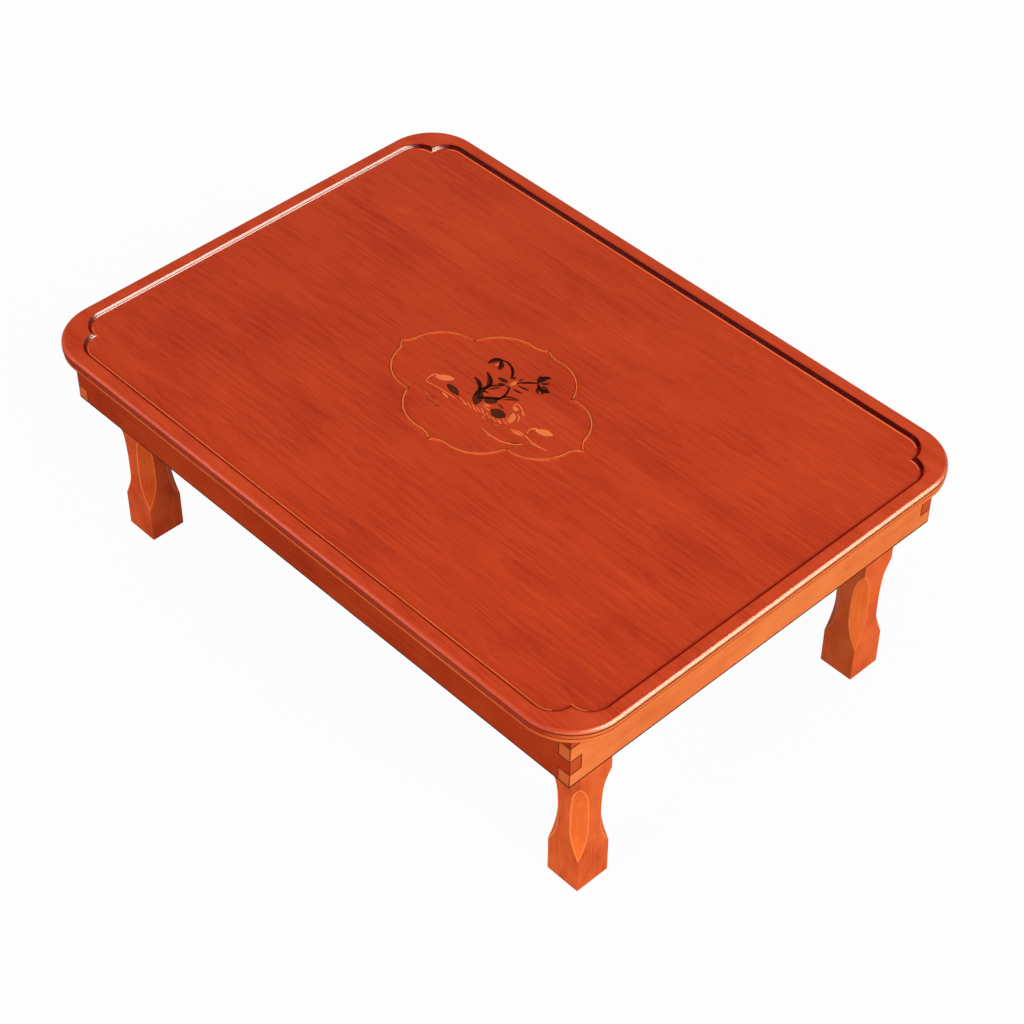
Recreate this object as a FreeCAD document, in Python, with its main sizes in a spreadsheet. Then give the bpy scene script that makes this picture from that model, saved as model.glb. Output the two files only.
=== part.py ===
import FreeCAD, Part
import math
import os

import Sketcher

# Folding coffee table of red-brown lacquered wood: a routed top with a recessed field and an inlaid
# medallion, a box-jointed apron frame under it, and four square legs that fold inwards on steel hinges.
# Frame: +X along the long side, +Y across the table, +Z up, origin on the floor under the middle.

doc = FreeCAD.newDocument("folding_coffee_table")
sheet = doc.addObject("Spreadsheet::Sheet", "Sizes")

SIZES = (
    # Whole table
    ("table_length", 850),
    ("table_width", 600),
    ("table_height", 305),
    ("cut_overrun", 5),
    # Top board and its edge moulding, listed from the rim downwards
    ("board_thickness", 17),
    ("corner_radius", 64),
    ("rim_round", 5),
    ("edge_band", 4),
    ("quirk_depth", 1.8),
    ("quirk_height", 2.2),
    ("bead_setback", 0.8),
    ("bead_round", 2),
    # Recessed field with bracketed corners
    ("rim_width", 16),
    ("wall_run", 10.5),
    ("recess_depth", 4.6),
    ("lobe_radius", 29),
    ("lobe_reach", 70),
    # Inlaid medallion
    ("inlay_depth", 0.8),
    ("medallion_length", 272),
    ("medallion_width", 197),
    ("medallion_setback", 5.5),
    ("medallion_turn", 4.2),
    ("medallion_line", 1.4),
    ("motif_reach", 100),
    # Apron frame with box joints
    ("apron_inset", 26),
    ("apron_thickness", 16),
    ("apron_bottom", 210),
    ("finger_clearance", 0.1),
    ("block_side", 15),
    ("block_height", 60),
    # Legs
    ("leg_side", 45),
    ("leg_side_gap", 17.8),
    ("leg_stop_gap", 0.4),
    ("facet_bottom", 49),
    ("facet_full_bottom", 93),
    ("facet_full_top", 130),
    ("facet_top", 184),
    ("facet_depth", 9.5),
    ("facet_top_radius", 400),
    # Hinges
    ("pin_to_inner_face", 14),
    ("pin_radius", 4),
    ("pin_clearance", 0.05),
    ("pin_head_radius", 6.5),
    ("pin_head_height", 2),
    ("washer_radius", 9),
    ("washer_thickness", 1),
    ("washer_gap", 0.2),
    ("bracket_gauge", 2),
    ("bracket_back", 22),
    ("bracket_front", 14),
    ("bracket_flange", 13),
    ("cheek_half_width", 10),
    ("spring_space", 3),
    ("spring_gauge", 1.2),
    ("spring_gap", 0.3),
    ("spring_width", 30),
    # Wood screws
    ("screw_radius", 1.75),
    ("screw_clearance", 0.05),
    ("screw_bite", 8),
    ("screw_head_radius", 3.5),
    ("screw_head_height", 1.8),
    ("screw_edge", 6.5),
    # Batten under the middle of the top
    ("batten_width", 40),
    ("batten_thickness", 18),
    ("batten_end_gap", 0.3),
)
for row, (alias, size) in enumerate(SIZES, start=1):
    sheet.set("A%d" % row, alias)
    sheet.set("B%d" % row, str(size))
    sheet.setAlias("B%d" % row, alias)

# Sizes that several pieces share, worked out once in the sheet
DERIVED = (
    ("half_length", "=table_length / 2"),
    ("half_width", "=table_width / 2"),
    ("board_bottom", "=table_height - board_thickness"),
    ("field_top", "=table_height - recess_depth"),
    ("bead_height", "=board_thickness - rim_round - edge_band - quirk_height"),
    ("apron_height", "=board_bottom - apron_bottom"),
    ("finger_height", "=apron_height / 4"),
    ("apron_half_length", "=half_length - apron_inset"),
    ("apron_half_width", "=half_width - apron_inset"),
    ("head_radius", "=leg_side - pin_to_inner_face"),
    ("bracket_plate", "=head_radius + spring_space"),
    ("pin_height", "=board_bottom - bracket_gauge - bracket_plate"),
    ("pin_place_x", "=apron_half_length - apron_thickness - leg_stop_gap - head_radius"),
    ("leg_place_y", "=apron_half_width - apron_thickness - leg_side_gap - leg_side / 2"),
    ("cheek_inner", "=leg_side / 2 + washer_thickness + 2 * washer_gap"),
    ("cheek_outer", "=cheek_inner + bracket_gauge"),
    ("flange_half", "=cheek_outer + bracket_flange"),
    ("facet_run", "=facet_full_bottom - facet_bottom"),
    ("facet_bottom_radius", "=(facet_run ^ 2 + facet_depth ^ 2) / (2 * facet_depth)"),
    ("batten_screw_pitch", "=(apron_half_width - apron_thickness) / 2"),
)
for row, (alias, formula) in enumerate(DERIVED, start=len(SIZES) + 1):
    sheet.set("A%d" % row, alias)
    sheet.set("B%d" % row, formula)
    sheet.setAlias("B%d" % row, alias)
doc.recompute()

nodes = []


def bound(text):
    """Expression text with every size name in braces turned into a cell of the sheet."""
    return text.replace("{", "Sizes.").replace("}", "")


def value(text):
    """Number that an expression gives now."""
    return float(sheet.evalExpression(bound(text)))


def keep(feature, label):
    """Mark an object as a finished piece of the table."""
    feature.Label = label
    nodes.append(feature)
    return feature


def place(feature, x, y, z, turn=0, axis=FreeCAD.Vector(0, 0, 1)):
    """Put an object at a place given by expressions, turned about one axis."""
    feature.Placement = FreeCAD.Placement(FreeCAD.Vector(), FreeCAD.Rotation(axis, turn))
    for coordinate, text in zip("xyz", (x, y, z)):
        feature.setExpression("Placement.Base." + coordinate, bound(text))
    return feature


def box(name, length, width, height, x, y, z):
    """Box with its low corner at the place given."""
    solid = doc.addObject("Part::Box", name)
    for side, text in zip(("Length", "Width", "Height"), (length, width, height)):
        solid.setExpression(side, bound(text))
    return place(solid, x, y, z)


def cylinder(name, radius, height, x, y, z, direction=FreeCAD.Vector(0, 0, 1)):
    """Cylinder that starts at the place given and runs along a direction."""
    solid = doc.addObject("Part::Cylinder", name)
    solid.setExpression("Radius", bound(radius))
    solid.setExpression("Height", bound(height))
    place(solid, x, y, z)
    solid.Placement.Rotation = FreeCAD.Rotation(FreeCAD.Vector(0, 0, 1), direction)
    return solid


def fuse(name, solids):
    joined = doc.addObject("Part::MultiFuse", name)
    joined.Shapes = solids
    joined.Refine = True
    return joined


def cut(name, base, tool):
    remainder = doc.addObject("Part::Cut", name)
    remainder.Base = base
    remainder.Tool = tool
    return remainder


def group(name, solids):
    together = doc.addObject("Part::Compound", name)
    together.Links = solids
    return together


def origin_plane(body, role):
    return [item for item in body.Origin.OriginFeatures if item.Role == role][0]


def empty_sketch(body, name, role, level="0"):
    """Sketch on one of the body's own origin planes, lifted to a level."""
    sketch = body.newObject("Sketcher::SketchObject", name)
    sketch.AttachmentSupport = (origin_plane(body, role), "")
    sketch.MapMode = "FlatFace"
    sketch.setExpression("AttachmentOffset.Base.z", bound(level))
    return sketch


def bind(sketch, kind, elements, text):
    """Dimension whose value is an expression."""
    index = sketch.addConstraint(Sketcher.Constraint(kind, *elements, value(text)))
    sketch.setExpression("Constraints[%d]" % index, bound(text))


def outline_sketch(body, name, role, corners, level="0"):
    """Closed outline through corners (x, y, radius of the arc to the next corner or None)."""
    sketch = empty_sketch(body, name, role, level)
    points = [FreeCAD.Vector(value(x), value(y), 0) for x, y, _ in corners]
    for index, (_, _, radius) in enumerate(corners):
        start = points[index]
        end = points[(index + 1) % len(points)]
        if radius is None:
            sketch.addGeometry(Part.LineSegment(start, end))
            continue
        chord = end - start
        reach = math.sqrt(value(radius) ** 2 - (chord.Length / 2) ** 2)
        left = FreeCAD.Vector(-chord.y, chord.x, 0).normalize()
        centre = (start + end) / 2 + left * reach
        circle = Part.Circle(centre, FreeCAD.Vector(0, 0, 1), value(radius))
        sketch.addGeometry(Part.ArcOfCircle(circle, circle.parameter(start), circle.parameter(end)))
    for index, (x, y, radius) in enumerate(corners):
        following = (index + 1) % len(corners)
        sketch.addConstraint(Sketcher.Constraint("Coincident", index, 2, following, 1))
        bind(sketch, "DistanceX", (-1, 1, index, 1), x)
        bind(sketch, "DistanceY", (-1, 1, index, 1), y)
        if radius is not None:
            bind(sketch, "Radius", (index,), radius)
    return sketch


def new_body(name):
    return doc.addObject("PartDesign::Body", name)


def pad(body, name, sketch, length, symmetric=False):
    feature = body.newObject("PartDesign::Pad", name)
    feature.Profile = sketch
    feature.setExpression("Length", bound(length))
    if symmetric:
        feature.SideType = "Symmetric"
    return feature


SAME_HEIGHT = 1e-6


def edges_at(feature, height):
    """Names of a feature's edges that lie flat at one height."""
    found = []
    for index, edge in enumerate(feature.Shape.Edges, start=1):
        limits = edge.BoundBox
        if max(abs(limits.ZMin - height), abs(limits.ZMax - height)) < SAME_HEIGHT:
            found.append("Edge%d" % index)
    return found


# Tabletop: one board. Its edge has a rounded rim over a flat band, a quirk and a bead.
def rounded_rectangle(inset):
    """Corners of the table's outline drawn in by an inset, anticlockwise."""
    x = "{half_length} - %s" % inset
    y = "{half_width} - %s" % inset
    x_start = "{half_length} - {corner_radius}"
    y_start = "{half_width} - {corner_radius}"
    radius = "{corner_radius} - %s" % inset
    return (
        (x, "-(%s)" % y_start, None),
        (x, y_start, radius),
        (x_start, y, None),
        ("-(%s)" % x_start, y, radius),
        ("-(%s)" % x, y_start, None),
        ("-(%s)" % x, "-(%s)" % y_start, radius),
        ("-(%s)" % x_start, "-(%s)" % y, None),
        (x_start, "-(%s)" % y, radius),
    )


def bracket_outline(inset):
    """Outline of the field, drawn in from the rim's inner edge: each corner is two lobes and a cusp."""
    radius = "{lobe_radius} - %s" % inset
    middle = "({rim_width} + {lobe_radius} + {lobe_reach}) / 2"
    spread = "({lobe_reach} - {rim_width} - {lobe_radius}) / 2"
    cusp = "(%s - sqrt((%s) ^ 2 / 2 - (%s) ^ 2))" % (middle, radius, spread)
    x_side = "{half_length} - {rim_width} - %s" % inset
    y_side = "{half_width} - {rim_width} - %s" % inset
    x_start = "{half_length} - {lobe_reach}"
    y_start = "{half_width} - {lobe_reach}"
    x_cusp = "{half_length} - %s" % cusp
    y_cusp = "{half_width} - %s" % cusp
    return (
        (x_side, "-(%s)" % y_start, None),
        (x_side, y_start, radius),
        (x_cusp, y_cusp, radius),
        (x_start, y_side, None),
        ("-(%s)" % x_start, y_side, radius),
        ("-(%s)" % x_cusp, y_cusp, radius),
        ("-(%s)" % x_side, y_start, None),
        ("-(%s)" % x_side, "-(%s)" % y_start, radius),
        ("-(%s)" % x_cusp, "-(%s)" % y_cusp, radius),
        ("-(%s)" % x_start, "-(%s)" % y_side, None),
        (x_start, "-(%s)" % y_side, radius),
        (x_cusp, "-(%s)" % y_cusp, radius),
    )


board = new_body("tabletop_board")


def board_outline(name, corners, level):
    """Outline on the tabletop's board at one level."""
    return outline_sketch(board, name, "XY_Plane", corners, level)


quirk_level = "{board_bottom} + {bead_height}"
rim_level = quirk_level + " + {quirk_height}"
bead_outline = board_outline("bead_outline", rounded_rectangle("{bead_setback}"), "{board_bottom}")
pad(board, "bead", bead_outline, "{bead_height}")
quirk_outline = board_outline("quirk_outline", rounded_rectangle("{quirk_depth}"), quirk_level)
pad(board, "quirk", quirk_outline, "{quirk_height}")
rim_outline = board_outline("rim_outline", rounded_rectangle("0"), rim_level)
rim = pad(board, "rim", rim_outline, "{rim_round} + {edge_band}")
doc.recompute()

rim_edge = board.newObject("PartDesign::Fillet", "rim_edge")
rim_edge.Base = (rim, edges_at(rim, value("{table_height}")))
rim_edge.setExpression("Radius", bound("{rim_round}"))
doc.recompute()
bead_edge = board.newObject("PartDesign::Fillet", "bead_edge")
bead_edge.Base = (rim_edge, edges_at(rim_edge, value("{board_bottom}")))
bead_edge.setExpression("Radius", bound("{bead_round}"))
doc.recompute()

# The moulded wall of the recess: (share of its run, share of its depth), from the rim down to the field.
# It rounds over the rim's edge, drops steeply, rests on a narrow ledge, drops again and sweeps out flat.
wall_profile_share = (
    (0.08, 0.025),
    (0.15, 0.08),
    (0.22, 0.22),
    (0.255, 0.48),
    (0.295, 0.6),
    (0.39, 0.64),
    (0.45, 0.8),
    (0.525, 0.935),
    (0.7, 0.985),
    (1, 1),
)
wall_levels = [
    board_outline("recess_mouth", bracket_outline("0"), "{table_height} + {cut_overrun}"),
    board_outline("recess_rim", bracket_outline("0"), "{table_height}"),
]
for step, (run_share, depth_share) in enumerate(wall_profile_share, start=1):
    outline = bracket_outline("{wall_run} * %s" % run_share)
    level = "{table_height} - {recess_depth} * %s" % depth_share
    wall_levels.append(board_outline("recess_level_%d" % step, outline, level))
recess = board.newObject("PartDesign::SubtractiveLoft", "recess")
recess.Profile = wall_levels[0]
recess.Sections = wall_levels[1:]
recess.Ruled = True
doc.recompute()

# Pilot holes for the hinge screws and the batten screws, drilled up into the underside
hinge_screw_offsets = (
    ("{screw_edge} - {bracket_back}", "{flange_half} - {screw_edge}"),
    ("{bracket_front} - {screw_edge}", "{flange_half} - {screw_edge}"),
    ("{screw_edge} - {bracket_back}", "{screw_edge} - {flange_half}"),
    ("{bracket_front} - {screw_edge}", "{screw_edge} - {flange_half}"),
)
batten_pitch_shares = (-1.5, -0.5, 0.5, 1.5)
batten_screw_places = [("0", "{batten_screw_pitch} * %s" % share) for share in batten_pitch_shares]
corners = (
    ("left", "front", -1, -1),
    ("right", "front", 1, -1),
    ("left", "back", -1, 1),
    ("right", "back", 1, 1),
)

pilot_places = list(batten_screw_places)
for _, _, side_x, side_y in corners:
    for offset_x, offset_y in hinge_screw_offsets:
        x = "%d * ({pin_place_x} + %s)" % (side_x, offset_x)
        y = "%d * {leg_place_y} + %s" % (side_y, offset_y)
        pilot_places.append((x, y))
hole_radius = "{screw_radius} + {screw_clearance}"
pilot_sketch = empty_sketch(board, "pilot_places", "XY_Plane", "{board_bottom}")
for index, (x, y) in enumerate(pilot_places):
    middle = FreeCAD.Vector(value(x), value(y), 0)
    pilot_sketch.addGeometry(Part.Circle(middle, FreeCAD.Vector(0, 0, 1), value(hole_radius)))
    bind(pilot_sketch, "Radius", (index,), hole_radius)
    bind(pilot_sketch, "DistanceX", (-1, 1, index, 3), x)
    bind(pilot_sketch, "DistanceY", (-1, 1, index, 3), y)
pilots = board.newObject("PartDesign::Pocket", "pilots")
pilots.Profile = pilot_sketch
pilots.setExpression("Length", bound("{screw_bite} + {screw_clearance}"))
pilots.Reversed = True
doc.recompute()

# Medallion: a lobed cartouche drawn by a thin inlaid line, laid by hand and so a few degrees askew. One
# quarter of it, as shares of the half length and half width: tip, end of the tip's hollow, lobe, cusp,
# lobe, end of the hollow, tip.
quarter_share = (
    (1, 0),
    (0.955, 0.06),
    (0.925, 0.15),
    (0.775, 0.47),
    (0.537, 0.546),
    (0.41, 0.81),
    (0.125, 0.93),
    (0.05, 0.955),
    (0, 1),
)


def cartouche_wire(level, inset):
    """Closed wire of the cartouche: four arcs in each quarter, mirrored round its middle and turned."""
    half_x = value("{medallion_length} / 2 - " + inset)
    half_y = value("{medallion_width} / 2 - " + inset)
    path = []
    for side_x, side_y in ((1, 1), (-1, 1), (-1, -1), (1, -1)):
        quarter = [FreeCAD.Vector(side_x * half_x * x, side_y * half_y * y, level) for x, y in quarter_share]
        if side_x * side_y < 0:
            quarter.reverse()
        path += [Part.Arc(*quarter[start:start + 3]).toShape() for start in (0, 2, 4, 6)]
    wire = Part.Wire(path)
    upright = FreeCAD.Vector(0, 0, 1)
    wire.rotate(FreeCAD.Vector(0, 0, level), upright, value("{medallion_turn}"))
    wire.translate(FreeCAD.Vector(-value("{medallion_setback}"), 0, 0))
    return wire


def inlay(label, faces):
    """Flat inlay pieces let into the field, flush with it, each a solid of its own."""
    piece = doc.addObject("Part::Feature", label)
    depth = FreeCAD.Vector(0, 0, -value("{inlay_depth}"))
    piece.Shape = Part.makeCompound([face.extrude(depth) for face in faces])
    return keep(piece, label)


field_top = value("{field_top}")
outer_face = Part.Face(cartouche_wire(field_top, "0"))
inner_face = Part.Face(cartouche_wire(field_top, "{medallion_line}"))
line_piece = inlay("medallion_line", outer_face.cut(inner_face).Faces)

# Bird-and-lotus picture inside the cartouche. Each leaf, petal, stem or feather is a piece of veneer
# between two arcs over one chord: (start x, start y, end x, end y, bulge to the left, bulge to the right),
# as shares of the motif's reach. Where one bulge is negative, both arcs bow the same way.
dark_veneer_shares = (
    # Drooping leaf, folded leaf and the stalk beside it
    (-0.18, -0.03, -0.035, -0.235, 0.06, 0.06),
    (-0.032, -0.12, 0.1, -0.03, 0.045, 0.04),
    (0.115, -0.045, 0.225, -0.062, 0.012, 0.006),
    # Blades of grass
    (-0.165, 0.025, -0.35, 0.22, -0.022, 0.05),
    (-0.195, -0.05, -0.39, 0.07, -0.012, 0.036),
    (0.1, 0.025, 0.24, 0.155, 0.024, -0.004),
    # Two stalks under the open blossom
    (-0.135, 0.035, -0.062, 0.185, 0.004, 0.022),
    (0.078, -0.012, 0.033, 0.212, -0.004, 0.03),
    # Open blossom's petals
    (-0.055, 0.275, -0.2, 0.255, 0.03, 0.03),
    (-0.06, 0.235, -0.13, 0.185, 0.014, 0.014),
    (-0.052, 0.345, -0.075, 0.408, 0.012, 0.012),
    (0.0, 0.382, 0.012, 0.44, 0.014, 0.014),
    (0.045, 0.315, 0.205, 0.345, 0.022, 0.01),
    (0.045, 0.24, 0.19, 0.265, 0.012, 0.016),
    (-0.04, 0.222, 0.015, 0.226, 0.01, 0.014),
    # Hanging bud and its stalk
    (-0.085, 0.36, -0.365, 0.488, -0.045, 0.07),
    (-0.385, 0.472, -0.445, 0.335, 0.01, 0.032),
    (-0.352, 0.472, -0.28, 0.345, 0.036, 0.008),
    # Twin buds and their stalk
    (0.042, 0.365, 0.165, 0.498, 0.018, 0.008),
    (0.165, 0.515, 0.11, 0.635, 0.032, 0.006),
    (0.178, 0.52, 0.185, 0.655, 0.02, 0.022),
    (0.194, 0.52, 0.27, 0.6, 0.016, 0.024),
    (0.182, 0.501, 0.222, 0.495, 0.006, 0.006),
    (0.235, 0.508, 0.36, 0.475, 0.036, 0.008),
    (0.232, 0.492, 0.35, 0.405, 0.024, 0.012),
    (0.222, 0.478, 0.305, 0.385, 0.004, 0.034),
    # Bird's wing, and a floating leaf
    (0.13, -0.16, 0.335, -0.135, 0.06, 0.075),
    (-0.51, -0.225, -0.275, -0.265, 0.05, 0.035),
)
pale_veneer_shares = (
    # Blossom's heart and bud's heart
    (-0.005, 0.25, -0.005, 0.37, 0.034, 0.034),
    (-0.366, 0.36, -0.352, 0.43, 0.018, 0.018),
    # Left and right lotus leaf with their bent stalks
    (-0.695, -0.245, -0.49, -0.11, 0.058, 0.05),
    (-0.7, -0.265, -0.695, -0.375, -0.004, 0.02),
    (0.695, -0.055, 0.91, 0.03, 0.062, 0.045),
    (0.69, -0.075, 0.695, -0.18, -0.004, 0.02),
    # Leaves lying on the water
    (-0.63, -0.35, -0.485, -0.35, 0.012, 0.006),
    (-0.465, -0.355, -0.3, -0.385, 0.024, 0.016),
    (0.525, -0.245, 0.7, -0.215, 0.032, 0.022),
    (0.725, -0.215, 1.01, -0.195, -0.006, 0.028),
    (0.6, -0.4, 0.785, -0.29, -0.018, 0.045),
    # Bird's head, beak, breast and back
    (0.265, 0.03, 0.36, 0.03, 0.036, 0.03),
    (0.372, 0.05, 0.49, 0.012, 0.016, 0.014),
    (0.335, -0.02, 0.44, -0.185, 0.056, 0.03),
    (-0.005, -0.165, 0.115, -0.135, 0.022, 0.022),
    # Feathers of its flank
    (-0.255, -0.262, -0.19, -0.305, 0.014, 0.012),
    (-0.18, -0.285, -0.065, -0.325, 0.014, 0.012),
    (-0.05, -0.28, 0.095, -0.305, 0.014, 0.012),
    (0.0, -0.225, 0.13, -0.25, 0.014, 0.01),
    (0.145, -0.25, 0.27, -0.275, 0.014, 0.01),
    (0.29, -0.215, 0.41, -0.245, 0.014, 0.01),
    (0.115, -0.305, 0.24, -0.325, 0.012, 0.012),
    (0.285, -0.29, 0.43, -0.275, -0.004, 0.024),
    # Ripples
    (0.28, -0.455, 0.56, -0.43, -0.014, 0.032),
    (-0.62, -0.47, -0.42, -0.48, -0.008, 0.026),
    (-0.48, -0.55, -0.28, -0.53, -0.008, 0.026),
)


def veneer_face(shares):
    """Face between two arcs over one chord."""
    x0, y0, x1, y1, bulge_left, bulge_right = (share * value("{motif_reach}") for share in shares)
    start = FreeCAD.Vector(x0, y0, field_top)
    end = FreeCAD.Vector(x1, y1, field_top)
    along = end - start
    left = FreeCAD.Vector(-along.y, along.x, 0).normalize()
    middle = (start + end) / 2
    first = Part.Arc(start, middle + left * bulge_left, end).toShape()
    second = Part.Arc(end, middle - left * bulge_right, start).toShape()
    return Part.Face(Part.Wire([first, second]))


dark_piece = inlay("inlay_dark", [veneer_face(shares) for shares in dark_veneer_shares])
light_piece = inlay("inlay_light", [veneer_face(shares) for shares in pale_veneer_shares])

inlay_bed = group("inlay_bed", [line_piece, dark_piece, light_piece])
keep(cut("tabletop_cut", board, inlay_bed), "tabletop")


# Apron boards: four boards on edge, joined at the corners by four fingers of equal height. The long
# boards have the first and third finger from the top, the end boards the others with a little slack.
finger_count = 4


def apron_board(label, role, half_reach, finger_levels, slack, cross_x, cross_y):
    """Board with fingers at both ends. The outline runs along the board and up."""
    right_side = []
    for level in range(finger_count):
        is_finger = level in finger_levels
        fit = 1 if is_finger else -1
        reach = half_reach if is_finger else half_reach + " - {apron_thickness}"
        bottom = "{apron_bottom} + {finger_height} * %d" % level
        top = "{apron_bottom} + {finger_height} * %d" % (level + 1)
        if level > 0:
            bottom += " + %d * %s" % (fit, slack)
        if level < finger_count - 1:
            top += " - %d * %s" % (fit, slack)
        right_side += [(reach, bottom), (reach, top)]
    left_side = [("-(%s)" % along, up) for along, up in reversed(right_side)]
    outline = [(along, up, None) for along, up in right_side + left_side]
    body = new_body(label + "_body")
    sketch = outline_sketch(body, label + "_outline", role, outline)
    pad(body, label + "_pad", sketch, "{apron_thickness}", symmetric=True)
    place(body, cross_x, cross_y, "0")
    return keep(body, label)


long_place = "({apron_half_width} - {apron_thickness} / 2)"
end_place = "({apron_half_length} - {apron_thickness} / 2)"
slack = "{finger_clearance}"
apron_board("apron_front", "XZ_Plane", "{apron_half_length}", (1, 3), "0", "0", "-" + long_place)
apron_board("apron_back", "XZ_Plane", "{apron_half_length}", (1, 3), "0", "0", long_place)
apron_board("apron_left", "YZ_Plane", "{apron_half_width}", (0, 2), slack, "-" + end_place, "0")
apron_board("apron_right", "YZ_Plane", "{apron_half_width}", (0, 2), slack, end_place, "0")

# Corner blocks: square glue blocks in the four inner corners of the apron frame, up against the top
inner_x = "({apron_half_length} - {apron_thickness})"
inner_y = "({apron_half_width} - {apron_thickness})"
block_level = "{board_bottom} - {block_height}"
for across, along, side_x, side_y in corners:
    name = "corner_block_%s_%s" % (along, across)
    x = inner_x + " - {block_side}" if side_x > 0 else "-" + inner_x
    y = inner_y + " - {block_side}" if side_y > 0 else "-" + inner_y
    keep(box(name, "{block_side}", "{block_side}", "{block_height}", x, y, block_level), name)

# Legs and hinges. Each is drawn about its pin: local +X points to the end of the table, Y along the pin.
along_y = FreeCAD.Vector(0, 1, 0)


def leg(name):
    """Square post, round at the head, with a stopped chamfer on each of its four edges.

    The chamfer sweeps in quickly over the foot, runs at its full depth up the shaft and runs out slowly
    under the head.
    """
    inner = "-{pin_to_inner_face}"
    side = "-{leg_side} / 2"
    post = box(name + "_post", "{leg_side}", "{leg_side}", "{pin_height}", inner, side, "-{pin_height}")
    head_box = box(name + "_head_box", "{leg_side}", "{leg_side}", "{head_radius}", inner, side, "0")
    head_disc = cylinder(name + "_head_disc", "{head_radius}", "{leg_side}", "0", side, "0", along_y)
    head = doc.addObject("Part::Common", name + "_head")
    head.Base = head_box
    head.Tool = head_disc
    blank = fuse(name + "_blank", [post, head])
    bore = cylinder(name + "_bore", "{pin_radius} + {pin_clearance}", "{leg_side} + 2 * {cut_overrun}",
                    "0", side + " - {cut_overrun}", "0", along_y)
    shaped = cut(name + "_bored", blank, bore)
    facet_outline = (
        ("{cut_overrun}", "{facet_bottom}", None),
        ("{cut_overrun}", "{facet_top}", None),
        ("0", "{facet_top}", "{facet_top_radius}"),
        ("-{facet_depth}", "{facet_full_top}", None),
        ("-{facet_depth}", "{facet_full_bottom}", "{facet_bottom_radius}"),
        ("0", "{facet_bottom}", None),
    )
    for index, (edge_x, edge_y) in enumerate(((1, 1), (-1, 1), (-1, -1), (1, -1))):
        facet = new_body("%s_facet_%d" % (name, index))
        sketch = outline_sketch(facet, "%s_facet_outline_%d" % (name, index), "XZ_Plane", facet_outline)
        pad(facet, "%s_facet_pad_%d" % (name, index), sketch, "{leg_side}", symmetric=True)
        corner_x = "{head_radius}" if edge_x > 0 else inner
        corner_y = "%d * {leg_side} / 2" % edge_y
        turn = math.degrees(math.atan2(edge_y, edge_x))
        place(facet, corner_x, corner_y, "-{pin_height}", turn)
        shaped = cut("%s_cut_%d" % (name, index), shaped, facet)
    return shaped


def hinge_bracket(name):
    """Hat-shaped steel bracket: a plate screwed up under the top and two cheeks that hold the pin."""
    plate = box(name + "_plate", "{bracket_back} + {bracket_front}", "2 * {flange_half}", "{bracket_gauge}",
                "-{bracket_back}", "-{flange_half}", "{bracket_plate}")
    pieces = [plate]
    for cheek, start in enumerate(("{cheek_inner}", "-{cheek_outer}")):
        pieces.append(box("%s_cheek_%d" % (name, cheek), "2 * {cheek_half_width}", "{bracket_gauge}",
                          "{bracket_plate}", "-{cheek_half_width}", start, "0"))
        pieces.append(cylinder("%s_eye_%d" % (name, cheek), "{cheek_half_width}", "{bracket_gauge}",
                               "0", start, "0", along_y))
    holes = [cylinder(name + "_pin_hole", "{pin_radius} + {pin_clearance}", "2 * {flange_half}",
                      "0", "-{flange_half}", "0", along_y)]
    for index, (x, y) in enumerate(hinge_screw_offsets):
        holes.append(cylinder("%s_hole_%d" % (name, index), hole_radius,
                              "{bracket_gauge} + 2 * {cut_overrun}", x, y, "{bracket_plate} - {cut_overrun}"))
    return cut(name + "_drilled", fuse(name + "_blank", pieces), group(name + "_holes", holes))


def pivot_pin(name):
    """Steel pin with a flat rivet head outside each cheek."""
    shank = cylinder(name + "_shank", "{pin_radius}", "2 * {cheek_outer}",
                     "0", "-{cheek_outer}", "0", along_y)
    head_a = cylinder(name + "_head_a", "{pin_head_radius}", "{pin_head_height}",
                      "0", "{cheek_outer}", "0", along_y)
    head_b = cylinder(name + "_head_b", "{pin_head_radius}", "{pin_head_height}",
                      "0", "-{cheek_outer} - {pin_head_height}", "0", along_y)
    return fuse(name + "_pin", [shank, head_a, head_b])


def hinge_washers(name):
    """Two washers, one on each side of the leg's head."""
    rings = []
    near = "{leg_side} / 2 + {washer_gap}"
    far = "-{leg_side} / 2 - {washer_gap} - {washer_thickness}"
    for index, start in enumerate((near, far)):
        disc = cylinder("%s_disc_%d" % (name, index), "{washer_radius}", "{washer_thickness}",
                        "0", start, "0", along_y)
        eye = cylinder("%s_hole_%d" % (name, index), "{pin_radius} + {pin_clearance}",
                       "{washer_thickness} + 2 * {cut_overrun}",
                       "0", start + " - {cut_overrun}", "0", along_y)
        rings.append(cut("%s_ring_%d" % (name, index), disc, eye))
    return group(name + "_pair", rings)


def leaf_spring(name):
    """Cranked steel strip under the bracket's plate, which rubs on the leg's round head."""
    foot = "-{bracket_back} + {spring_gauge}"
    knee = "-{cheek_half_width}"
    toe = "-{cheek_half_width} / 2"
    top = "{bracket_plate}"
    low = "{head_radius} + {spring_gap}"
    outline = (
        (foot, top, None),
        (foot, top + " - {spring_gauge}", None),
        (knee, top + " - {spring_gauge}", None),
        (toe, low, None),
        ("{cheek_half_width}", low, None),
        ("{cheek_half_width}", low + " + {spring_gauge}", None),
        (toe, low + " + {spring_gauge}", None),
        (knee, top, None),
    )
    body = new_body(name + "_strip")
    sketch = outline_sketch(body, name + "_outline", "XZ_Plane", outline)
    pad(body, name + "_pad", sketch, "{spring_width}", symmetric=True)
    return body


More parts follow.
